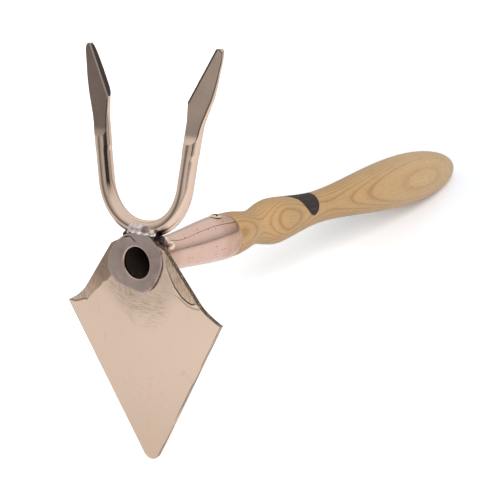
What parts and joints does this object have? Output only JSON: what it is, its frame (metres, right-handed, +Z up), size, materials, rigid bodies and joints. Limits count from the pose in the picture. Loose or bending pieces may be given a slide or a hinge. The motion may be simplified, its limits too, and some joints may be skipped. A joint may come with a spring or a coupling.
{
  "type": "double hoe",
  "caption": "Hand hoe with a pointed polished metal blade on one side, a two-tine fork with leaf-shaped tips on the other, a rolled metal socket and a turned wooden handle.",
  "frame": {"origin": "on the surface the tool stands on, under the middle of its bounding box", "axes": "+Z up; +Y from the head towards the handle's end; +X to the right when the mouth of the socket is seen from the front. The tool leans back about 17 degrees, so that it stands on the blade's tip and the handle's end, as pictured."},
  "size_m": [0.106, 0.3776, 0.2173],
  "materials": {
    "pale_wood": "oiled, fine open grain",
    "polished_copper": "polished copper sheet with small pits",
    "screw_brass": "bright",
    "blade_bronze": "mirror polished bronze with fine scratches",
    "fork_bronze": "polished bronze bar, leaf faces ground",
    "ground_bronze": "ground flat, grey, brushed",
    "weld_metal": "bright rippled weld"
  },
  "bodies": {
    "root": {"handle": "pale_wood", "socket": "polished_copper", "socket_screw": "screw_brass", "hoe_blade": "blade_bronze", "mouth_collar": "ground_bronze", "fork": "fork_bronze", "fork_weld_front": "weld_metal", "fork_weld_back": "weld_metal", "blade_weld": "weld_metal"}
  },
  "joints": []
}
